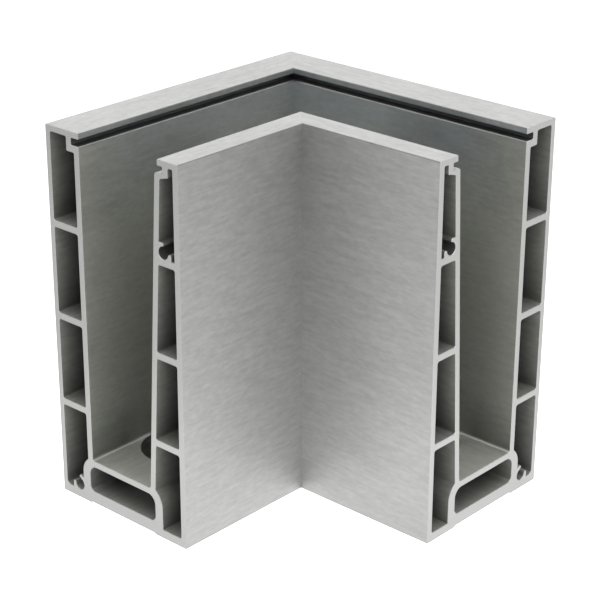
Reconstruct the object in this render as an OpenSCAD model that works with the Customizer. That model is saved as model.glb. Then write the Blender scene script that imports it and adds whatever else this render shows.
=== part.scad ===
// Inside 90 degree corner of an extruded aluminium U-shaped base channel for
// glass panels. Two lengths of the same hollow section are mitred at 45 degrees
// and welded to each other along the mitre.
//
// The section is drawn in u and z: u runs from the inside face (0) to the
// outside face (width), z runs up from the base (0) to the top (height).

/* [Overall] */
// Height of both walls
height = 140; // [132:1:160]
// Width of the section, from the inside face to the outside face
width = 63.5; // [62:0.5:76]
// Length of each leg along its inside face, from the inside corner to the cut end
leg_inner = 59; // [50:1:250]

/* [Skins and webs] */
// Thickness of the inside face
skin_t = 2.4; // [2:0.1:2.8]
// Thickness of the outside face
outer_t = 2.1; // [1.9:0.05:2.8]
// Thickness of the upright skin between the outer wall's chambers and the channel
back_t = 2.45; // [2.2:0.05:3]
// Thickness of the sloped skin between the inner wall's chambers and the channel
slope_t = 2.35; // [2.2:0.05:2.8]
// Thickness of the cross webs
web_t = 2.5; // [2:0.1:3]
// Height of the underside of the lowest web
web_low_z = 35.5; // [32:0.5:40]
// Height of the underside of the middle web
web_mid_z = 68.9; // [64:0.1:74]
// Height of the underside of the highest web
web_high_z = 103.4; // [98:0.1:108]
// Thickness of the top flanges
flange_t = 2.2; // [2:0.1:2.8]

/* [Channel] */
// Height of the channel floor above the base
floor_z = 17.8; // [17.4:0.1:20]
// Thickness of the channel floor
floor_t = 2.5; // [2:0.1:3]
// Thickness of the outer wall, from the outside face to the channel
outer_wall = 16.5; // [16:0.25:18]
// Thickness of the inner wall at the channel floor
inner_foot = 17.15; // [16.6:0.05:18]
// Thickness of the inner wall at its top step
inner_top = 10.7; // [10.2:0.1:11.4]

/* [Gasket grooves] */
// Height of both gasket grooves
groove_h = 2.5; // [2:0.1:3]
// Depth of the outer wall's groove behind the channel face
outer_groove_d = 3.75; // [3:0.25:5]
// Reach of the inner wall's top flange from the inside face
inner_flange = 9.45; // [9:0.05:10]
// Depth of the inner wall's groove behind its flange
inner_groove_d = 2.4; // [1.8:0.1:2.6]
// Thickness of the uprights behind the grooves
stem_t = 2.45; // [2:0.05:2.7]

/* [Base] */
// Thickness of the base plate under the wall chambers
plate_t = 3.45; // [3:0.05:4]
// Height of the floor of the flat chamber under the channel
base_z = 5.25; // [4.8:0.05:6]
// Distance from the inside face to the flat chamber
base_u = 15.1; // [14.8:0.1:16]
// Distance from the flat chamber to the outside face
base_out = 14.8; // [14.4:0.1:15.2]
// Thickness of the walls beside the flat chamber
base_wall = 3.65; // [3:0.05:4]
// Depth of the shallow relief under the base
relief_d = 0.65; // [0.3:0.05:1]

/* [Pin ports] */
// Diameter of the C-shaped pin ports along each leg
port_d = 4.5; // [4:0.1:4.6]

/* [Anchor holes] */
// Distance of each anchor hole from the inside corner, along its leg
hole_x = 30; // [24:0.5:34]
// Offset of each anchor hole from the middle of the channel floor, towards the outside
hole_off = 0; // [-0.3:0.1:0.3]
// Diameter of the access hole in the channel floor
access_d = 28.4; // [18:0.2:30]
// Diameter of the anchor hole in the base plate
anchor_d = 14; // [10:0.5:18]

/* [Hidden] */

ALU = [0.74, 0.75, 0.74];
$fn = 64;

// Upright faces of the section
u_back = width - outer_wall;            // channel face of the outer wall
u_back_in = u_back + back_t;            // chamber face of the same skin
u_skin = width - outer_t;               // chamber face of the outside skin
u_groove = u_back + outer_groove_d;     // bottom of the outer groove
u_stem = u_groove + stem_t;             // chamber face of the outer stem
n_groove = inner_flange - inner_groove_d;
n_stem = n_groove - stem_t;

// Levels of the section
z_flange = height - flange_t;           // underside of the flanges
z_step = z_flange - groove_h;           // floor of the grooves
z_under = z_step - 2.6;                 // underside of the outer step
webs = [web_low_z, web_mid_z, web_high_z];

// Sloped skin of the inner wall: u of its channel face and chamber face at height z
slope = (inner_foot - inner_top) / (z_step - floor_z);
function channel_u(z) = inner_foot - slope * (z - floor_z);
function chamber_u(z) = channel_u(z) - slope_t;

// Flat chamber and its walls
base_far = width - base_out;
base_top = floor_z - floor_t;
top_r = 3.5;
low_r = 2.3;
arc_z = base_top - top_r;
arc_r = top_r + base_wall;
near_c = [base_u + top_r, arc_z];
far_c = [base_far - top_r, arc_z];

// Anchor holes: the access hole stays clear of the channel's walls
hole_u = (inner_foot + u_back) / 2 + hole_off;
access_r = min(access_d, u_back - inner_foot - 1) / 2;

// Pin ports
port_r = port_d / 2;
low_port = [base_far + base_wall + 2.15, plate_t + port_r];
web_top = web_high_z + web_t;
high_port = [chamber_u(web_top + port_r + 0.05) - port_r - 0.05, web_top + port_r + 0.05];

// Corner rounding: each outline point is [u, z, corner radius]
function unit(v) = v / norm(v);
function turn(t) = t > 180 ? t - 360 : t < -180 ? t + 360 : t;
function xy(p) = [p[0], p[1]];
function arc(c, r, a0, a1, n) = [for (i = [0 : n]) c + r * [cos(a0 + (a1 - a0) * i / n), sin(a0 + (a1 - a0) * i / n)]];
function corner(p, q, s, r) =
    let (a = unit(p - q), b = unit(s - q), h = acos(a * b) / 2,
         c = q + unit(a + b) * (r / sin(h)),
         f = q + a * (r / tan(h)) - c, g = q + b * (r / tan(h)) - c,
         a0 = atan2(f[1], f[0]), sw = turn(atan2(g[1], g[0]) - a0))
    arc(c, r, a0, a0 + sw, r > 2 ? 10 : r > 0.6 ? 5 : 3);
function rounded(p) = let (n = len(p)) [for (i = [0 : n - 1])
    each (p[i][2] > 0 ? corner(xy(p[(i + n - 1) % n]), xy(p[i]), xy(p[(i + 1) % n]), p[i][2]) : [xy(p[i])])];

// A chamber of the outer wall and one of the inner wall, between two levels
function outer_cell(z0, z1) = [[u_back_in, z0, 0.8], [u_skin, z0, 0.8], [u_skin, z1, 0.8], [u_back_in, z1, 0.8]];
function inner_cell(z0, z1) = [[skin_t, z0, 0.8], [chamber_u(z0), z0, 0.8], [chamber_u(z1), z1, 0.8], [skin_t, z1, 0.8]];

// Outer boundary of the section, with the channel and both gasket grooves
outline = [
    [0, 0, 0.4], [base_u + 0.3, 0, 0.25], [base_u + 0.3 + relief_d, relief_d, 0.25],
    [base_far + 0.1 - relief_d, relief_d, 0.25], [base_far + 0.1, 0, 0.25], [width, 0, 0.4],
    [width, height, 0.4],
    [u_back, height, 0.4], [u_back, z_flange, 0.4],
    [u_groove, z_flange, 0.3], [u_groove, z_step, 0.3],
    [u_back, z_step, 0.45], [u_back, floor_z, 1.1],
    [inner_foot, floor_z, 1.1], [inner_top, z_step, 0.9],
    [n_groove, z_step, 0.3], [n_groove, z_flange, 0.3],
    [inner_flange, z_flange, 0.4], [inner_flange, height, 0.4], [0, height, 0.4]
];

// Lowest chamber of the outer wall, with a round foot under the outside face
outer_low = [[u_back_in, plate_t, 0.8], [u_skin, plate_t, 1.8], [u_skin, webs[0], 0.8], [u_back_in, webs[0], 0.8]];

// Highest chamber of each wall, behind its gasket groove
outer_high = [
    [u_back_in, web_top, 0.8], [u_skin, web_top, 0.8], [u_skin, z_flange, 0.8],
    [u_stem, z_flange, 0.6], [u_stem, z_under, 0.5], [u_back_in, z_under, 0.6]
];
inner_high = [
    [skin_t, web_top, 0.5], [chamber_u(web_top), web_top, 0.8], [chamber_u(z_step - 1.9), z_step - 1.9, 0.6],
    [n_stem, z_step - 0.8, 0.5], [n_stem, z_flange, 0.5], [skin_t, z_flange, 0.5]
];

// Flat chamber under the channel
base_cell = [
    [base_u, base_z, low_r], [base_far, base_z, low_r], [base_far, base_top, top_r], [base_u, base_top, top_r]
];

// Solid around the flat chamber: round shoulders that run into the walls' skins
shoulder_far = acos((u_back_in - far_c[0]) / arc_r);
shoulder_near = acos((chamber_u(floor_z) - near_c[0]) / arc_r);
housing = concat(
    [[base_u - base_wall, plate_t - 0.6], [base_far + base_wall, plate_t - 0.6]],
    arc(far_c, arc_r, 0, shoulder_far, 8),
    [[u_back_in - 0.6, floor_z - 0.3], [chamber_u(floor_z) + 0.6, floor_z - 0.3]],
    arc(near_c, arc_r, shoulder_near, 180, 8));

// Finger of a port: a round-tipped arc of thickness t about centre c, from angle a0 to a1 (tip at a1)
function finger(c, t, a0, a1) = let (m = port_r + t / 2, s = a1 > a0 ? 1 : -1)
    concat([c], arc(c, port_r + t, a0, a1, 8),
           arc(c + m * [cos(a1), sin(a1)], t / 2 + 0.04, a1, a1 + s * 180, 8));

// Lug of a port: from wall points w and q to a round tip of thickness t at angle a1 about centre c
function lug(c, w, q, t, a1, s) = let (m = c + (port_r + t / 2) * [cos(a1), sin(a1)], r = t / 2 + 0.04,
        d = m - q, a = atan2(d[1], d[0]) + s * asin(r / norm(d)))
    concat([c, w, q], arc(m, r, a + s * 90, a - s * 90, 8));

module low_port_solid() {
    // upper finger: a straight prong from the wall, and the metal between it and the bore
    k = port_r / 2.25;
    translate(low_port) polygon(rounded(k * [[-3.09, 2.81, 0], [-2.71, 1.78, 0], [0.24, 2.89, 0.5], [-0.15, 3.92, 0.5]]));
    translate(low_port) polygon(k * [[0, 0], [-2.6, 0], [-2.6, 2.2], [-0.55, 2.6]]);
    // base and upright finger
    polygon(rounded([[low_port[0] - 2.6, plate_t - 0.6, 0], [low_port[0] + port_r + 1.3, plate_t - 0.6, 0],
                     [low_port[0] + port_r + 1.3, low_port[1] + 0.4, 0.62], [low_port[0] + port_r - 0.02, low_port[1] + 0.4, 0.62],
                     [low_port[0] + port_r - 0.02, low_port[1], 0], [low_port[0] - 2.6, low_port[1], 0]]));
}

module high_port_solid() {
    // web side and lower finger, with an upright back
    polygon(finger(high_port, 1.45, 275, 194));
    back = high_port + (port_r + 0.725) * [cos(194), sin(194)] - [0.765, 0];
    polygon([back, [back[0], web_top - 0.6], [high_port[0], web_top - 0.6], [high_port[0], back[1]]]);
    polygon([high_port, high_port + [-1.2, -2.9], high_port + [3.2, -2.9], high_port + [3.0, 0]]);
    // upper lug
    polygon(lug(high_port, high_port + [3, 0], high_port + [2.75, 3.5], 1.25, 79, -1));
}

// The hollows of the section: everything cut out of its outer boundary
module hollows() {
    difference() {
        polygon(rounded(outer_low));
        polygon(housing);
        low_port_solid();
    }
    difference() {
        polygon(rounded(inner_cell(plate_t, webs[0])));
        polygon(housing);
    }
    for (i = [0 : 1]) {
        polygon(rounded(outer_cell(webs[i] + web_t, webs[i + 1])));
        polygon(rounded(inner_cell(webs[i] + web_t, webs[i + 1])));
    }
    polygon(rounded(outer_high));
    difference() {
        polygon(rounded(inner_high));
        high_port_solid();
    }
    polygon(rounded(base_cell));
    translate(low_port) circle(port_r);
    translate(high_port) circle(port_r);
}

module section() {
    difference() {
        polygon(rounded(outline));
        hollows();
    }
}

// One leg along +X, with the inside face at y = 0 and the mitre in the plane x + y = 0
module leg() {
    difference() {
        intersection() {
            translate([-width - 1, 0, 0]) rotate([90, 0, 90])
                linear_extrude(height = leg_inner + width + 1) section();
            translate([0, 0, -1]) linear_extrude(height = height + 2)
                polygon([[1, -1], [leg_inner + 5, -1], [leg_inner + 5, width + 1], [-width - 1, width + 1]]);
        }
        translate([hole_x, hole_u, -1]) cylinder(d = anchor_d, h = base_z + 2);
        translate([hole_x, hole_u, base_top - 2]) cylinder(r = access_r, h = floor_t + 3);
    }
}

// The part stands on its base, with its origin under the middle of its outline
module placed() {
    translate([(width - leg_inner) / 2, (leg_inner - width) / 2, 0]) leg();
}

module right_leg() {
    color(ALU) placed();
}

module left_leg() {
    color(ALU) mirror([1, 1, 0]) placed();
}

left_leg();
right_leg();
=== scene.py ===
import math
import bmesh
import bpy
from mathutils import Matrix, Vector
from mathutils.geometry import delaunay_2d_cdt


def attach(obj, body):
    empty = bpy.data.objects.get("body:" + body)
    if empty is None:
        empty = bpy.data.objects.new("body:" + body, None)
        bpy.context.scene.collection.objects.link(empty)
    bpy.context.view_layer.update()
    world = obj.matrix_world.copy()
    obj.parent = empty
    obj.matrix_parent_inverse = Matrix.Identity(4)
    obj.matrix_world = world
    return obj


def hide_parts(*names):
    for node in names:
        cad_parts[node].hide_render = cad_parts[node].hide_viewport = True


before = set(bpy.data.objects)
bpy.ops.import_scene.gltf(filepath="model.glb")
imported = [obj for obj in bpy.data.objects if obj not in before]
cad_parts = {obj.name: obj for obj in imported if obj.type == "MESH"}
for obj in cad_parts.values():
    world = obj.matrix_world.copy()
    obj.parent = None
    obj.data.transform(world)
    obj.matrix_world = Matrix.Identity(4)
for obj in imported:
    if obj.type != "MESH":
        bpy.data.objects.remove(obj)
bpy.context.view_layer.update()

# ---------------------------------------------------------------------------
# Section of the extrusion, in millimetres: u runs from the inside face to the
# outside face, z from the base to the top.
# ---------------------------------------------------------------------------
HEIGHT, WIDTH, LEG = 140.0, 63.5, 59.0
SKIN, OUTER_SKIN, BACK, SLOPE_T, WEB, FLANGE = 2.4, 2.1, 2.45, 2.35, 2.5, 2.2
WEBS = (35.5, 68.9, 103.4)
FLOOR_Z, FLOOR_T = 17.8, 2.5
OUTER_WALL, INNER_FOOT, INNER_TOP = 16.5, 17.15, 10.7
GROOVE_H, OUTER_GROOVE, INNER_FLANGE, INNER_GROOVE, STEM = 2.5, 3.75, 9.45, 2.4, 2.45
PLATE, BASE_Z, BASE_U, BASE_OUT, BASE_WALL, RELIEF = 3.45, 5.25, 15.1, 14.8, 3.65, 0.65
PORT_R = 2.25
HOLE_X, HOLE_OFF, ACCESS_R, ANCHOR_R = 30.0, 0.0, 14.2, 7.0
CUT_EDGE = 0.16          # width of the deburred edge round the saw-cut ends

U_BACK = WIDTH - OUTER_WALL
U_BACK_IN = U_BACK + BACK
U_SKIN = WIDTH - OUTER_SKIN
U_GROOVE = U_BACK + OUTER_GROOVE
U_STEM = U_GROOVE + STEM
N_GROOVE = INNER_FLANGE - INNER_GROOVE
N_STEM = N_GROOVE - STEM
Z_FLANGE = HEIGHT - FLANGE
Z_STEP = Z_FLANGE - GROOVE_H
Z_UNDER = Z_STEP - 2.6
SLOPE = (INNER_FOOT - INNER_TOP) / (Z_STEP - FLOOR_Z)
BASE_FAR = WIDTH - BASE_OUT
BASE_TOP = FLOOR_Z - FLOOR_T
TOP_R, LOW_R = 3.5, 2.3
ARC_Z, ARC_R = BASE_TOP - TOP_R, TOP_R + BASE_WALL
NEAR_C, FAR_C = (BASE_U + TOP_R, ARC_Z), (BASE_FAR - TOP_R, ARC_Z)
HOLE_U = (INNER_FOOT + U_BACK) / 2 + HOLE_OFF
WEB_TOP = WEBS[2] + WEB


def channel_u(z):
    return INNER_FOOT - SLOPE * (z - FLOOR_Z)


def chamber_u(z):
    return channel_u(z) - SLOPE_T


LOW_PORT = (BASE_FAR + BASE_WALL + 2.15, PLATE + PORT_R)
HIGH_PORT = (chamber_u(WEB_TOP + PORT_R + 0.05) - PORT_R - 0.05, WEB_TOP + PORT_R + 0.05)


def arc(c, r, a0, a1, n):
    return [(c[0] + r * math.cos(math.radians(a0 + (a1 - a0) * i / n)),
             c[1] + r * math.sin(math.radians(a0 + (a1 - a0) * i / n))) for i in range(n + 1)]


def corner(p, q, s, r):
    a = (Vector(p) - Vector(q)).normalized()
    b = (Vector(s) - Vector(q)).normalized()
    h = math.acos(max(-1, min(1, a.dot(b)))) / 2
    c = Vector(q) + (a + b).normalized() * (r / math.sin(h))
    f, g = Vector(q) + a * (r / math.tan(h)) - c, Vector(q) + b * (r / math.tan(h)) - c
    a0 = math.degrees(math.atan2(f.y, f.x))
    sweep = (math.degrees(math.atan2(g.y, g.x)) - a0 + 180) % 360 - 180
    return arc(c, r, a0, a0 + sweep, 14 if r > 2 else 7 if r > 0.6 else 5)


def rounded(points):
    out, n = [], len(points)
    for i, (u, z, r) in enumerate(points):
        out += corner(points[i - 1][:2], (u, z), points[(i + 1) % n][:2], r) if r else [(u, z)]
    return out


def finger(c, t, a0, a1):
    m, s = PORT_R + t / 2, 1 if a1 > a0 else -1
    tip = (c[0] + m * math.cos(math.radians(a1)), c[1] + m * math.sin(math.radians(a1)))
    return [c] + arc(c, PORT_R + t, a0, a1, 12) + arc(tip, t / 2 + 0.04, a1, a1 + s * 180, 10)


def lug(c, w, q, t, a1, s):
    m = (c[0] + (PORT_R + t / 2) * math.cos(math.radians(a1)), c[1] + (PORT_R + t / 2) * math.sin(math.radians(a1)))
    r, d = t / 2 + 0.04, (m[0] - q[0], m[1] - q[1])
    a = math.degrees(math.atan2(d[1], d[0]) + s * math.asin(r / math.hypot(*d)))
    return [c, w, q] + arc(m, r, a + s * 90, a - s * 90, 10)


def outer_cell(z0, z1):
    return rounded([(U_BACK_IN, z0, 0.8), (U_SKIN, z0, 0.8), (U_SKIN, z1, 0.8), (U_BACK_IN, z1, 0.8)])


def inner_cell(z0, z1):
    return rounded([(SKIN, z0, 0.8), (chamber_u(z0), z0, 0.8), (chamber_u(z1), z1, 0.8), (SKIN, z1, 0.8)])


lp, hp = LOW_PORT, HIGH_PORT
hb = (hp[0] + (PORT_R + 0.725) * math.cos(math.radians(194)) - 0.765, hp[1] + (PORT_R + 0.725) * math.sin(math.radians(194)))
SHAPES = {
    "outline": rounded([
        (0, 0, 0.4), (BASE_U + 0.3, 0, 0.25), (BASE_U + 0.3 + RELIEF, RELIEF, 0.25),
        (BASE_FAR + 0.1 - RELIEF, RELIEF, 0.25), (BASE_FAR + 0.1, 0, 0.25), (WIDTH, 0, 0.4),
        (WIDTH, HEIGHT, 0.4), (U_BACK, HEIGHT, 0.4), (U_BACK, Z_FLANGE, 0.4),
        (U_GROOVE, Z_FLANGE, 0.3), (U_GROOVE, Z_STEP, 0.3), (U_BACK, Z_STEP, 0.6), (U_BACK, FLOOR_Z, 1.1),
        (INNER_FOOT, FLOOR_Z, 1.1), (INNER_TOP, Z_STEP, 0.9), (N_GROOVE, Z_STEP, 0.3), (N_GROOVE, Z_FLANGE, 0.3),
        (INNER_FLANGE, Z_FLANGE, 0.4), (INNER_FLANGE, HEIGHT, 0.4), (0, HEIGHT, 0.4)]),
    "outer_1": rounded([(U_BACK_IN, PLATE, 0.8), (U_SKIN, PLATE, 1.8), (U_SKIN, WEBS[0], 0.8), (U_BACK_IN, WEBS[0], 0.8)]),
    "inner_1": inner_cell(PLATE, WEBS[0]),
    "outer_2": outer_cell(WEBS[0] + WEB, WEBS[1]),
    "inner_2": inner_cell(WEBS[0] + WEB, WEBS[1]),
    "outer_3": outer_cell(WEBS[1] + WEB, WEBS[2]),
    "inner_3": inner_cell(WEBS[1] + WEB, WEBS[2]),
    "outer_4": rounded([
        (U_BACK_IN, WEB_TOP, 0.8), (U_SKIN, WEB_TOP, 0.8), (U_SKIN, Z_FLANGE, 0.8),
        (U_STEM, Z_FLANGE, 0.6), (U_STEM, Z_UNDER, 0.5), (U_BACK_IN, Z_UNDER, 0.6)]),
    "inner_4": rounded([
        (SKIN, WEB_TOP, 0.5), (chamber_u(WEB_TOP), WEB_TOP, 0.8), (chamber_u(Z_STEP - 1.9), Z_STEP - 1.9, 0.6),
        (N_STEM, Z_STEP - 0.8, 0.5), (N_STEM, Z_FLANGE, 0.5), (SKIN, Z_FLANGE, 0.5)]),
    "base": rounded([(BASE_U, BASE_Z, LOW_R), (BASE_FAR, BASE_Z, LOW_R), (BASE_FAR, BASE_TOP, TOP_R), (BASE_U, BASE_TOP, TOP_R)]),
    "housing": [(BASE_U - BASE_WALL, PLATE - 0.6), (BASE_FAR + BASE_WALL, PLATE - 0.6)]
        + arc(FAR_C, ARC_R, 0, math.degrees(math.acos((U_BACK_IN - FAR_C[0]) / ARC_R)), 12)
        + [(U_BACK_IN - 0.6, FLOOR_Z - 0.3), (chamber_u(FLOOR_Z) + 0.6, FLOOR_Z - 0.3)]
        + arc(NEAR_C, ARC_R, math.degrees(math.acos((chamber_u(FLOOR_Z) - NEAR_C[0]) / ARC_R)), 180, 12),
    "low_lug": [(lp[0] + u, lp[1] + z) for u, z in rounded([(-3.09, 2.81, 0), (-2.71, 1.78, 0), (0.24, 2.89, 0.5), (-0.15, 3.92, 0.5)])],
    "low_fill": [lp, (lp[0] - 2.6, lp[1]), (lp[0] - 2.6, lp[1] + 2.2), (lp[0] - 0.55, lp[1] + 2.6)],
    "low_finger": rounded([
        (lp[0] - 2.6, PLATE - 0.6, 0), (lp[0] + PORT_R + 1.3, PLATE - 0.6, 0),
        (lp[0] + PORT_R + 1.3, lp[1] + 0.4, 0.62), (lp[0] + PORT_R - 0.02, lp[1] + 0.4, 0.62),
        (lp[0] + PORT_R - 0.02, lp[1], 0), (lp[0] - 2.6, lp[1], 0)]),
    "high_finger": finger(hp, 1.45, 275, 194),
    "high_back": [hb, (hb[0], WEB_TOP - 0.6), (hp[0], WEB_TOP - 0.6), (hp[0], hb[1])],
    "high_web": [hp, (hp[0] - 1.2, hp[1] - 2.9), (hp[0] + 3.2, hp[1] - 2.9), (hp[0] + 3.0, hp[1])],
    "high_lug": lug(hp, (hp[0] + 3, hp[1]), (hp[0] + 2.75, hp[1] + 3.5), 1.25, 79, -1),
    "low_bore": arc(lp, PORT_R, 0, 360 - 7.5, 47),
    "high_bore": arc(hp, PORT_R, 0, 360 - 7.5, 47),
}


def within(name, u, z):
    p, odd = SHAPES[name], False
    for (u0, z0), (u1, z1) in zip(p, p[1:] + p[:1]):
        if (z0 > z) != (z1 > z) and u < u0 + (z - z0) / (z1 - z0) * (u1 - u0):
            odd = not odd
    return odd


def solid_at(u, z):
    if not within("outline", u, z):
        return False
    if any(within(k, u, z) for k in ("outer_2", "outer_3", "outer_4", "inner_2", "inner_3", "base", "low_bore", "high_bore")):
        return False
    if within("outer_1", u, z):
        return any(within(k, u, z) for k in ("housing", "low_lug", "low_fill", "low_finger"))
    if within("inner_1", u, z):
        return within("housing", u, z)
    if within("inner_4", u, z):
        return any(within(k, u, z) for k in ("high_finger", "high_back", "high_web", "high_lug"))
    return True


def boundary_loops():
    """Closed boundary loops of the section, with metal on the left of each."""
    points, edges = [], []
    for p in SHAPES.values():
        n = len(points)
        points += [Vector(q) for q in p]
        edges += [(n + i, n + (i + 1) % len(p)) for i in range(len(p))]
    verts, _, faces, *_ = delaunay_2d_cdt(points, edges, [], 0, 1e-5)
    follow = {}
    metal = set()
    for f in faces:
        c = sum((verts[i] for i in f), Vector((0, 0))) / len(f)
        if solid_at(c.x, c.y):
            metal.update(zip(f, list(f[1:]) + [f[0]]))
    for a, b in metal:
        if (b, a) not in metal:
            follow.setdefault(a, []).append(b)
    loops = []
    while follow:
        a = min(follow)
        loop = [a]
        b = follow[a].pop()
        if not follow[a]:
            del follow[a]
        while b != loop[0]:
            loop.append(b)
            nxt = follow[b].pop()
            if not follow[b]:
                del follow[b]
            b = nxt
        loops.append([verts[i].copy() for i in loop])
    return [tidy(p) for p in loops if len(p) > 2]


def tidy(loop):
    """Drops steps under 0.045 mm and points on a straight line."""
    out = []
    for p in loop:
        if not out or (p - out[-1]).length > 0.045:
            out.append(p)
    while (out[0] - out[-1]).length < 0.045:
        out.pop()
    keep = []
    for i, p in enumerate(out):
        a, b = (p - out[i - 1]).normalized(), (out[(i + 1) % len(out)] - p).normalized()
        if abs(a.x * b.y - a.y * b.x) > 0.004:
            keep.append(p)
    return keep


LOOPS = boundary_loops()


def filled(loops):
    """Triangles over the metal between the loops, as indices into the loops' points in order."""
    points, edges = [], []
    for p in loops:
        n = len(points)
        points += p
        edges += [(n + i, n + (i + 1) % len(p)) for i in range(len(p))]
    verts, _, faces, origin, *_ = delaunay_2d_cdt(points, edges, [], 0, 1e-6)

    def inside(c):
        odd = False
        for i, j in edges:
            p, q = points[i], points[j]
            if (p.y > c.y) != (q.y > c.y) and c.x < p.x + (c.y - p.y) / (q.y - p.y) * (q.x - p.x):
                odd = not odd
        return odd
    out = []
    for f in faces:
        if inside(sum((verts[i] for i in f), Vector((0, 0))) / len(f)):
            out.append([origin[i][0] for i in f])
    return out


def set_in(loop, d):
    """The loop moved into the metal by d."""
    out = []
    for i, p in enumerate(loop):
        a, b = (p - loop[i - 1]).normalized(), (loop[(i + 1) % len(loop)] - p).normalized()
        n0, n1 = Vector((-a.y, a.x)), Vector((-b.y, b.x))
        out.append(p + (n0 + n1) * (d / max(0.45, 1 + n0.dot(n1))))
    return out


TRIS = filled(LOOPS)
INSET = [set_in(p, CUT_EDGE) for p in LOOPS]


def ring_solid(profile, centre, sides=96):
    """Closed turned solid about a vertical axis, for drilling: profile is (radius, z) from bottom to top."""
    bm = bmesh.new()
    rings = [[bm.verts.new((centre[0] + r * math.cos(2 * math.pi * k / sides), centre[1] + r * math.sin(2 * math.pi * k / sides), z))
              for k in range(sides)] for r, z in profile]
    for lo, hi in zip(rings, rings[1:]):
        for k in range(sides):
            bm.faces.new((lo[k], lo[(k + 1) % sides], hi[(k + 1) % sides], hi[k]))
    bm.faces.new(list(reversed(rings[0])))
    bm.faces.new(rings[-1])
    me = bpy.data.meshes.new("drill")
    bm.to_mesh(me)
    bm.free()
    ob = bpy.data.objects.new("drill", me)
    bpy.context.scene.collection.objects.link(ob)
    return ob


def leg_mesh():
    """One leg along +X in millimetres, with its inside face at y = 0 and its mitre in the plane x + y = 0."""
    bm = bmesh.new()
    mitre, shank, face = [], [], []
    for loop, inset in zip(LOOPS, INSET):
        mitre.append([bm.verts.new((-p.x, p.x, p.y)) for p in loop])
        shank.append([bm.verts.new((LEG - CUT_EDGE, p.x, p.y)) for p in loop])
        face.append([bm.verts.new((LEG, p.x, p.y)) for p in inset])
        n = len(loop)
        for i in range(n):
            j = (i + 1) % n
            bm.faces.new((mitre[-1][i], mitre[-1][j], shank[-1][j], shank[-1][i]))
            bm.faces.new((shank[-1][i], shank[-1][j], face[-1][j], face[-1][i]))
    flat_m, flat_f = sum(mitre, []), sum(face, [])
    for t in TRIS:
        bm.faces.new([flat_f[i] for i in t])
        bm.faces.new([flat_m[i] for i in reversed(t)])
    bmesh.ops.dissolve_limit(bm, angle_limit=math.radians(0.05), verts=bm.verts[:], edges=bm.edges[:])
    me = bpy.data.meshes.new("leg")
    bm.to_mesh(me)
    bm.free()
    ob = bpy.data.objects.new("leg", me)
    bpy.context.scene.collection.objects.link(ob)
    hole = (HOLE_X, HOLE_U)
    drills = [
        ring_solid([(ANCHOR_R + 0.3, -1), (ANCHOR_R + 0.3, RELIEF), (ANCHOR_R, RELIEF + 0.3), (ANCHOR_R, BASE_Z - 0.3),
                    (ANCHOR_R + 0.3, BASE_Z), (ANCHOR_R + 0.3, BASE_Z + 1.5)], hole),
        ring_solid([(ACCESS_R, BASE_TOP - 2), (ACCESS_R, FLOOR_Z - 0.1), (ACCESS_R + 0.1, FLOOR_Z), (ACCESS_R + 0.1, FLOOR_Z + 2)], hole)]
    for d in drills:
        m = ob.modifiers.new("drilled", "BOOLEAN")
        m.operation, m.solver, m.object = "DIFFERENCE", "EXACT", d
    done = bpy.data.meshes.new_from_object(ob.evaluated_get(bpy.context.evaluated_depsgraph_get()))
    for o in [ob] + drills:
        bpy.data.objects.remove(o)
    bm = bmesh.new()
    bm.from_mesh(done)
    bmesh.ops.remove_doubles(bm, verts=bm.verts[:], dist=1e-4)
    bmesh.ops.dissolve_degenerate(bm, dist=1e-5, edges=bm.edges[:])
    bm.to_mesh(done)
    bm.free()
    return done


SURFACES = ("face", "outer", "channel", "hollow", "shelf", "groove", "lip", "edge", "step", "port", "cut", "drilled")


def surface_of(c, n):
    """Which finish a face of the leg has, from its middle and its normal in the leg's own millimetres."""
    x, u, z = c
    if x > LEG - CUT_EDGE + 0.001:
        return "cut"
    r = math.hypot(x - HOLE_X, u - HOLE_U)
    if abs(n.z) < 0.85 and (r < ANCHOR_R + 0.35 and z < BASE_Z + 0.1 or abs(r - ACCESS_R) < 0.5 and BASE_TOP < z < FLOOR_Z + 0.05 and abs(n.x * (x - HOLE_X) + n.y * (u - HOLE_U)) > 0.6 * r):
        return "drilled"
    # The rounded top edges get a darker finish: painted shade against their highlight
    if z > HEIGHT - 0.45 and n.z < 0.97 and (u < 0.45 or abs(u - U_BACK) < 0.45):
        return "edge"
    if u > WIDTH - 0.45 or z > HEIGHT - 0.45 or z < RELIEF + 0.1 and n.z < -0.3:
        return "outer"
    if u < 0.45:
        return "face"
    # Faces round the high port's bore get the dark port finish: painted shade
    if math.hypot(u - hp[0], z - hp[1]) < PORT_R + 0.1:
        return "port"
    if abs(z - Z_STEP) < 1 and n.z > 0.5 and N_GROOVE < u < INNER_TOP + 0.1:
        return "outer"
    # The grooves get a near-black finish: painted shade
    if Z_STEP - 0.35 < z < Z_FLANGE + 0.35 and (U_BACK + 0.5 < u < U_GROOVE + 0.05 or N_GROOVE - 0.05 < u < INNER_FLANGE - 0.1):
        return "groove"
    # The lip and the step get darker finishes: painted shade
    if z > Z_STEP - 0.81 and U_BACK - 0.05 < u < U_BACK + 0.85 and (z > Z_FLANGE - 0.4 or n.z > 0.1):
        return "lip" if z > Z_STEP + 0.5 else "step"
    if z > FLOOR_Z - 0.05 and channel_u(z) - 0.1 - (1.3 if z > Z_STEP - 1 else 0) < u < U_BACK + 0.3:
        return "channel"
    return "shelf" if n.z > 0.7 else "hollow"


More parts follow.
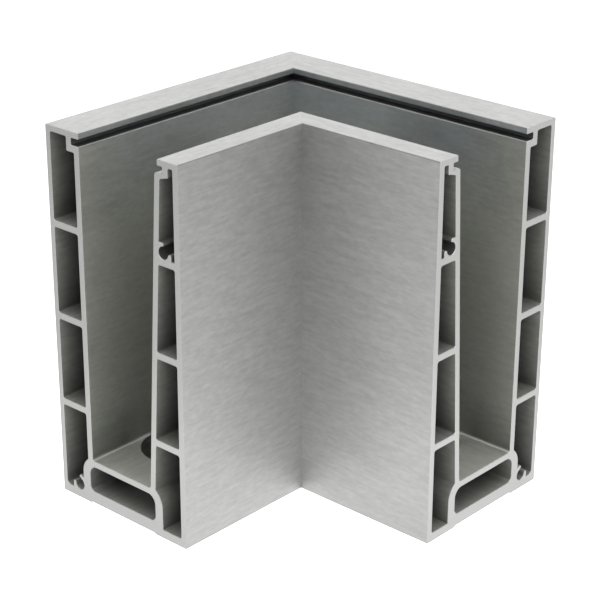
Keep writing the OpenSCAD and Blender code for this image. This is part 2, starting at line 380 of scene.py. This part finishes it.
# ---------------------------------------------------------------------------
# Finishes
# ---------------------------------------------------------------------------
class Nodes:
    """Short names for building one material."""

    def __init__(self, name):
        self.mat = bpy.data.materials.new(name)
        self.mat.use_nodes = True
        self.tree = self.mat.node_tree
        self.tree.nodes.clear()
        self.out = self.add("ShaderNodeOutputMaterial")
        self.bsdf = self.add("ShaderNodeBsdfPrincipled")
        self.link(self.bsdf.outputs[0], self.out.inputs[0])

    def add(self, kind, **values):
        n = self.tree.nodes.new(kind)
        for k, v in values.items():
            setattr(n, k, v)
        return n

    def link(self, a, b):
        self.tree.links.new(a, b)

    def place(self, scale, offset=(0, 0, 0)):
        co = self.add("ShaderNodeTexCoord")
        m = self.add("ShaderNodeMapping")
        m.inputs["Scale"].default_value = scale
        m.inputs["Location"].default_value = offset
        self.link(co.outputs["Object"], m.inputs["Vector"])
        return m.outputs[0]

    def noise(self, where, detail=2.0, rough=0.5):
        n = self.add("ShaderNodeTexNoise")
        n.inputs["Scale"].default_value = 1.0
        n.inputs["Detail"].default_value = detail
        n.inputs["Roughness"].default_value = rough
        self.link(where, n.inputs["Vector"])
        return n.outputs["Fac"]

    def math(self, op, a, b):
        n = self.add("ShaderNodeMath", operation=op)
        for s, v in zip(n.inputs, (a, b)):
            if isinstance(v, (int, float)):
                s.default_value = v
            else:
                self.link(v, s)
        return n.outputs[0]

    def spread(self, value, low, high, to_low, to_high):
        n = self.add("ShaderNodeMapRange")
        for s, v in zip(n.inputs[1:5], (low, high, to_low, to_high)):
            s.default_value = v
        self.link(value, n.inputs[0])
        return n.outputs[0]

    def ramp(self, value, *stops):
        n = self.add("ShaderNodeValToRGB")
        e = n.color_ramp.elements
        while len(e) < len(stops):
            e.new(0.5)
        for s, (at, c) in zip(e, stops):
            s.position, s.color = at, (*c, 1)
        self.link(value, n.inputs[0])
        return n.outputs[0]

    def toned(self, colour, axis, *stops, only=None):
        """The colour made lighter or darker along an axis, which paints light or shade into it: stops are (metres,
        factor). Only is (axis, from, to): where that comes in.
        """
        co, xyz = self.add("ShaderNodeTexCoord"), self.add("ShaderNodeSeparateXYZ")
        mix = self.add("ShaderNodeMix", data_type="RGBA", blend_type="MULTIPLY")
        self.link(co.outputs["Object"], xyz.inputs[0])
        stops = sorted(stops)
        low, high = stops[0][0], stops[-1][0]
        place = self.spread(xyz.outputs[axis], low, high, 0.0, 1.0)
        if only:
            self.link(self.spread(xyz.outputs[only[0]], only[1], only[2], 0.0, 1.0), mix.inputs[0])
        else:
            mix.inputs[0].default_value = 1.0
        self.link(colour, mix.inputs[6])
        self.link(self.ramp(place, *[((at - low) / (high - low), (f, f, f)) for at, f in stops]), mix.inputs[7])
        return mix.outputs[2]

    def bump(self, height, strength, distance):
        n = self.add("ShaderNodeBump")
        n.inputs["Strength"].default_value = strength
        n.inputs["Distance"].default_value = distance
        self.link(height, n.inputs["Height"])
        self.link(n.outputs[0], self.bsdf.inputs["Normal"])


PALE, CUT, OLIVE = (0.992, 1.0, 0.982), (0.993, 1.0, 0.972), (0.985, 1.0, 0.915)


def shade(v, tint):
    return tuple(v * c for c in tint)


def along(axis, lengthwise, across):
    """Scale of a pattern that is stretched along a leg, in 1/m."""
    return (lengthwise, across, across) if axis == "X" else (across, lengthwise, across)


def brushed(name, axis, low, high, rough, aniso, metal=1.0, tint=PALE, change=None, tones=(), where=None):
    """Aluminium with a brushed grain along the leg. A change is (axis, from, to, factor, tint): where the colour moves
    to a darker one, which paints shade in. Tones are ((axis, *stops), only), which paint light and shade in, and where
    keeps the change to part of the leg.
    """
    m = Nodes(name)
    fine = m.noise(m.place(along(axis, 70, 2600), (3.1, 1.7, 0.4)), 3.0, 0.65)
    a = m.noise(m.place(along(axis, 330, 800), (0.9, 6.1, 3.3)), 2.5, 0.55)
    b = m.noise(m.place(along(axis, 85, 560), (7.7, 2.9, 5.2)), 1.5, 0.5)
    c = m.noise(m.place((24, 24, 24), (1.3, 4.6, 2.2)), 2.0, 0.5)
    strokes = m.math("ADD", m.math("MULTIPLY", a, 0.55), m.math("MULTIPLY", b, 0.45))
    tone = m.math("ADD", m.math("MULTIPLY", strokes, 0.88), m.math("MULTIPLY", c, 0.12))
    colour = m.ramp(tone, (0.36, shade(low, tint)), (0.64, shade(high, tint)))
    if change:
        which, start, end, factor, tint = change
        other = m.ramp(tone, (0.36, shade(low * factor, tint)), (0.64, shade(high * factor, tint)))
        co, xyz, mix = m.add("ShaderNodeTexCoord"), m.add("ShaderNodeSeparateXYZ"), m.add("ShaderNodeMix", data_type="RGBA")
        m.link(co.outputs["Object"], xyz.inputs[0])
        amount = m.spread(xyz.outputs[which], start, end, 0.0, 1.0)
        if where:
            amount = m.math("MULTIPLY", amount, m.spread(xyz.outputs[where[0]], where[1], where[2], 0.0, 1.0))
        m.link(amount, mix.inputs[0])
        m.link(colour, mix.inputs[6])
        m.link(other, mix.inputs[7])
        colour = mix.outputs[2]
    for curve, only in tones:
        colour = m.toned(colour, *curve, only=only)
    m.link(colour, m.bsdf.inputs["Base Color"])
    m.link(m.spread(m.math("ADD", m.math("MULTIPLY", strokes, 0.5), m.math("MULTIPLY", fine, 0.5)), 0.3, 0.7, rough - 0.05, rough + 0.06), m.bsdf.inputs["Roughness"])
    m.bsdf.inputs["Metallic"].default_value = metal
    m.bsdf.inputs["Anisotropic"].default_value = aniso
    m.bsdf.inputs["Anisotropic Rotation"].default_value = 0.25
    t = m.add("ShaderNodeTangent", direction_type="UV_MAP", uv_map="leg")
    m.link(t.outputs[0], m.bsdf.inputs["Tangent"])
    m.bump(fine, 0.10, 0.00006)
    return m.mat


def saw_cut(name, low, tones):
    """End cut by a circular saw: fine curved marks across the section, with light and shade painted in along the height
    by the tones.
    """
    m = Nodes(name)
    co = m.add("ShaderNodeTexCoord")
    w = m.add("ShaderNodeTexWave", wave_type="RINGS", rings_direction="SPHERICAL")
    mp = m.add("ShaderNodeMapping")
    mp.inputs["Location"].default_value = (0.02, 0.02, 0.16)
    m.link(co.outputs["Object"], mp.inputs["Vector"])
    w.inputs["Scale"].default_value = 420
    w.inputs["Distortion"].default_value = 1.5
    w.inputs["Detail"].default_value = 2
    m.link(mp.outputs[0], w.inputs["Vector"])
    n = m.noise(m.place((900, 900, 900)), 3, 0.6)
    marks = m.math("ADD", m.math("MULTIPLY", w.outputs["Fac"], 0.45), m.math("MULTIPLY", n, 0.55))
    m.link(m.toned(m.ramp(marks, (0.2, shade(low, CUT)), (0.8, shade(low + 0.07, CUT))), "Z", *tones), m.bsdf.inputs["Base Color"])
    m.link(m.spread(marks, 0.2, 0.8, 0.36, 0.5), m.bsdf.inputs["Roughness"])
    m.bsdf.inputs["Metallic"].default_value = 1.0
    m.bump(marks, 0.08, 0.00006)
    return m.mat


def drilled(name):
    m = Nodes(name)
    n = m.noise(m.place((300, 300, 3500)), 2, 0.5)
    m.link(m.ramp(n, (0.3, shade(0.48, PALE)), (0.7, shade(0.62, PALE))), m.bsdf.inputs["Base Color"])
    m.link(m.spread(n, 0.3, 0.7, 0.3, 0.42), m.bsdf.inputs["Roughness"])
    m.bsdf.inputs["Metallic"].default_value = 1.0
    m.bump(n, 0.1, 0.00005)
    return m.mat


def finishes(axis):
    side = 1 if axis == "X" else -1

    def leg(*stops):
        """Stops along the leg, from millimetres along it."""
        return (axis,) + tuple((side * (at + SHIFT) / 1000, f) for at, f in stops)
    # end and deep: where the painted shade in the hollows starts near the cut end and where it is full; cool: the tint
    # of the channel's darker top
    end, deep, cool = (0.0605, 0.0475, (0.94, 1.0, 1.01)) if axis == "X" else (-0.0605, -0.0475, (0.96, 1.0, 0.99))

    def between(a, b):
        return (axis, side * (a + SHIFT) / 1000, side * (b + SHIFT) / 1000)
    # Painted light and shade in the channel: darker at the foot of its walls towards the cut end, darker near the
    # corner and brighter towards the cut end
    foot = ("Z", (0.0179, 0.88), (0.0184, 0.56), (0.019, 0.46), (0.024, 0.64), (0.036, 1.0))
    reach = leg((-45, 0.96), (0, 0.86), (36, 0.98 if axis == "X" else 1.03), (59, 1.26))
    # Painted shade: the top of the channel walls is darker towards the cut end
    high = ("Z", (0.098, 1.0), (0.112, 0.87))
    # Painted shade and light in the hollows: darker just above each web and lighter under the next one, and lighter
    # again where light comes in under the access hole
    inner = leg((38, 3.2), (44, 1.0))
    tops = (PLATE, WEBS[0] + WEB, WEBS[1] + WEB, WEB_TOP)
    webs = ("Z",) + tuple(s for z in tops for s in (((z - 2) / 1000, 1.25), (z / 1000, 0.56), ((z + 8) / 1000, 0.82), ((z + 16) / 1000, 1.03)))
    # Painted shade on the shelves round the high port's lug
    lugs = ("Z", (0.108, 1.0), (0.1095, 0.62), (0.114, 0.62), (0.1155, 1.0))
    # Painted light and shade on the saw-cut ends: the X end is lighter than the Y end, and both are darker towards the
    # bottom
    saw = (0.335, ((0.003, 0.77), (0.036, 0.94), (0.066, 1.0))) if axis == "X" else (
        0.285, ((0.003, 0.82), (0.036, 1.02), (0.104, 1.0), (0.14, 0.92)))
    return {
        "outer": brushed("brushed_outer_" + axis, axis, 0.316, 0.386, 0.60, 0.2),
        # Painted light and shade on the inside faces: darker at the foot, lighter low down and darker at the top near
        # the inner corner, lighter at mid height towards the ends
        "face": brushed("brushed_face_" + axis, axis, *((0.308, 0.376) if axis == "X" else (0.314, 0.384)), 0.60, 0.2, tones=[
            (("Z", (0.0, 0.95), (0.014, 1.0)), None),
            (("Z", (0.0, 1.05), (0.06, 1.01), (0.105, 0.97), (0.13, 0.88)), between(26, 2)),
            (("Z", (0.012, 0.97), (0.04, 1.06), (0.10, 1.06), (0.13, 1.02)), between(22, 44))]),
        # Painted shade in the channel: darker and cooler at the top near the corner, on top of the painted light and
        # shade of foot, reach and high
        "channel": brushed("channel_" + axis, axis, 0.365, 0.435, 0.52, 0.3, 0.94, OLIVE, ("Z", 0.104, 0.130, 0.92, cool), [(foot, between(35, 43)), (reach, None), (high, between(36, 48))], between(52, 34)),
        # Painted shade: the hollows and shelves fall to a quarter of their colour from the cut end inwards, with the
        # painted light and shade of inner, webs and lugs
        "hollow": brushed("mill_hollow_painted_shade_" + axis, axis, 0.255, 0.32, 0.60, 0.2, 0.72, OLIVE, (axis, end, deep, 0.25, OLIVE), [(inner, None), (webs, None)]),
        "shelf": brushed("mill_shelf_painted_shade_" + axis, axis, 0.23, 0.29, 0.60, 0.2, 0.72, OLIVE, (axis, end, deep, 0.25, OLIVE), [(inner, None), (lugs, None)]),
        # Painted shade: the grooves are near black
        "groove": brushed("groove_" + axis, axis, 0.10, 0.15, 0.55, 0.2, 1.0, (0.94, 1.0, 0.97)),
        # Painted shade and light: the lip is darker, and brighter towards the cut end
        "lip": brushed("lip_" + axis, axis, 0.265, 0.325, 0.55, 0.3, 1.0, cool, None, [(leg((30, 1.0), (46, 1.36)), None)]),
        # Painted shade: the rounded top edges are darker
        "edge": brushed("edge_" + axis, axis, 0.20, 0.25, 0.60, 0.2),
        # Painted shade: the step under the lip is darker
        "step": brushed("step_" + axis, axis, 0.225, 0.275, 0.55, 0.3, 1.0, PALE),
        # Painted shade: the port bore is near black
        "port": brushed("port_" + axis, axis, 0.085, 0.125, 0.60, 0.2, 0.72, OLIVE),
        "cut": saw_cut("saw_cut_" + axis, *saw),
        "drilled": drilled("drilled_" + axis),
    }


# ---------------------------------------------------------------------------
# The two legs
# ---------------------------------------------------------------------------
SHIFT = (WIDTH - LEG) / 2


def place_leg(name, node, axis, base):
    me = base.copy()
    me.name = name
    kinds, normals = [], []
    for p in me.polygons:
        kinds.append(SURFACES.index(surface_of(p.center, p.normal)))
        normals.append(p.normal.copy())
    uv = me.uv_layers.new(name="leg")
    for p, n in zip(me.polygons, normals):
        for li in p.loop_indices:
            x, u, z = me.vertices[me.loops[li].vertex_index].co
            if abs(n.x) > 0.6:
                uv.data[li].uv = (u / 100, z / 100)
            else:
                uv.data[li].uv = (x / 100, (z if abs(n.y) > abs(n.z) else u) / 100)
    flip = axis == "Y"
    for v in me.vertices:
        x, y, z = v.co.x + SHIFT, v.co.y - SHIFT, v.co.z
        v.co = Vector((-y, -x, z) if flip else (x, y, z)) / 1000
    if flip:
        me.flip_normals()
    made = finishes(axis)
    me.materials.clear()
    for s in SURFACES:
        me.materials.append(made[s])
    me.polygons.foreach_set("material_index", kinds)
    me.polygons.foreach_set("use_smooth", [True] * len(me.polygons))
    me.set_sharp_from_angle(angle=math.radians(33))
    me.update()
    ob = bpy.data.objects.new(name, me)
    bpy.context.scene.collection.objects.link(ob)
    w = ob.modifiers.new("even_normals", "WEIGHTED_NORMAL")
    w.mode, w.weight, w.keep_sharp = "FACE_AREA", 50, True
    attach(ob, "root")
    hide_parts(node)
    return ob


base = leg_mesh()
right = place_leg("right_leg_extrusion", "right_leg", "X", base)
left = place_leg("left_leg_extrusion", "left_leg", "Y", base)
bpy.data.meshes.remove(base)

# ---------------------------------------------------------------------------
# Floor, light and camera
# ---------------------------------------------------------------------------
def stage_piece(name, bm, mat, z):
    me = bpy.data.meshes.new(name)
    bm.to_mesh(me)
    bm.free()
    me.materials.append(mat)
    me.polygons.foreach_set("use_smooth", [True] * len(me.polygons))
    ob = bpy.data.objects.new(name, me)
    ob.location.z = z
    bpy.context.scene.collection.objects.link(ob)


def pale(name):
    m = Nodes(name)
    n = m.noise(m.place((40, 40, 40)), 2, 0.5)
    m.link(m.ramp(n, (0.3, (0.38, 0.38, 0.38)), (0.7, (0.40, 0.40, 0.40))), m.bsdf.inputs["Base Color"])
    m.bsdf.inputs["Roughness"].default_value = 0.8
    m.bsdf.inputs["Specular IOR Level"].default_value = 0.1
    return m


# A round floor that curves up into a low wall, and the shaded floor under the part
bm = bmesh.new()
SIDES = 96
profile = [(0.6, 0.0), (3.4, 0.0)] + [(3.4 + 0.5 * math.sin(math.radians(a)), 0.5 - 0.5 * math.cos(math.radians(a))) for a in range(15, 91, 15)] + [(3.9, 0.95)]
rings = [[bm.verts.new((r * math.cos(2 * math.pi * k / SIDES), r * math.sin(2 * math.pi * k / SIDES), z)) for k in range(SIDES)] for r, z in profile]
bm.faces.new(rings[0])
for inner, outer in zip(rings, rings[1:]):
    for k in range(SIDES):
        bm.faces.new((inner[k], outer[k], outer[(k + 1) % SIDES], inner[(k + 1) % SIDES]))
m = pale("pale_floor")
m.bsdf.inputs["Emission Color"].default_value = (1, 1, 1, 1)
# The floor glows as if lit from below: a close pool, a wide pool and the rest
FLOOR_NEAR, FLOOR_MID, FLOOR_FAR = 1.20, 0.11, 0.54
fc, fl = m.add("ShaderNodeTexCoord"), m.add("ShaderNodeVectorMath", operation="LENGTH")
m.link(fc.outputs["Object"], fl.inputs[0])
pools = []
for reach, top, rest in ((0.24, FLOOR_NEAR, 0.0), (0.60, FLOOR_MID + FLOOR_FAR, FLOOR_FAR)):
    pool = m.add("ShaderNodeMapRange", interpolation_type="SMOOTHERSTEP")
    for s, v in zip(pool.inputs[1:5], (0.0, reach, top, rest)):
        s.default_value = v
    m.link(fl.outputs["Value"], pool.inputs[0])
    pools.append(pool.outputs[0])
m.link(m.math("ADD", *pools), m.bsdf.inputs["Emission Strength"])
stage_piece("floor", bm, m.mat, -0.00005)
bm = bmesh.new()
edge = (WIDTH + LEG) / 2 - 0.8
bm.faces.new([bm.verts.new((x / 1000, y / 1000, 0)) for x, y in (
    (-edge, edge), (-edge, -edge), (SHIFT - 0.8, -edge), (SHIFT - 0.8, -SHIFT + 0.8), (edge, -SHIFT + 0.8), (edge, edge))])
stage_piece("floor_under", bm, pale("shaded_floor").mat, -0.00003)

scene = bpy.context.scene
world = bpy.data.worlds.new("studio")
scene.world = world
world.use_nodes = True
wt = world.node_tree
wt.nodes["Background"].inputs["Color"].default_value = (1, 1, 1, 1)
# Soft boxes round the part: where each one is, the cosines where it starts and is full, and its strength
SOFT_BOXES = (
    ((0.0, 0.0, 1.0), 0.20, 0.95, 2.45),
    ((-0.55, 0.60, 0.58), 0.30, 0.95, 0.69),
    ((0.65, -0.70, 0.25), 0.30, 0.95, 0.00),
    ((0.50, -0.55, 0.67), 0.30, 0.95, 0.57),
    ((0.95, -0.30, 0.30), 0.55, 0.98, 1.26),
)
SKY = 0.0
co = wt.nodes.new("ShaderNodeTexCoord")
total = None
for towards, start, full, strength in SOFT_BOXES:
    dot, fade = wt.nodes.new("ShaderNodeVectorMath"), wt.nodes.new("ShaderNodeMapRange")
    dot.operation = "DOT_PRODUCT"
    dot.inputs[1].default_value = Vector(towards).normalized()
    fade.interpolation_type = "SMOOTHSTEP"
    for s, v in zip(fade.inputs[1:5], (start, full, 0.0, strength)):
        s.default_value = v
    wt.links.new(co.outputs["Generated"], dot.inputs[0])
    wt.links.new(dot.outputs["Value"], fade.inputs[0])
    add = wt.nodes.new("ShaderNodeMath")
    add.inputs[1].default_value = SKY
    wt.links.new(fade.outputs[0], add.inputs[0])
    if total:
        wt.links.new(total, add.inputs[1])
    total = add.outputs[0]
wt.links.new(total, wt.nodes["Background"].inputs["Strength"])
scene.view_settings.view_transform = "Standard"


cam_data = bpy.data.cameras.new("camera")
cam_data.sensor_width = 36
cam_data.lens = 110.9697
cam = bpy.data.objects.new("camera", cam_data)
cam.matrix_world = Matrix((
    (0.7412048, -0.2678023, 0.6155464, 0.400981),
    (0.6712707, 0.2911347, -0.6816424, -0.444753),
    (0.0033385, 0.9184348, 0.3955582, 0.331701),
    (0, 0, 0, 1)))
cam_data.clip_start, cam_data.clip_end = 0.01, 20
scene.collection.objects.link(cam)
scene.camera = cam
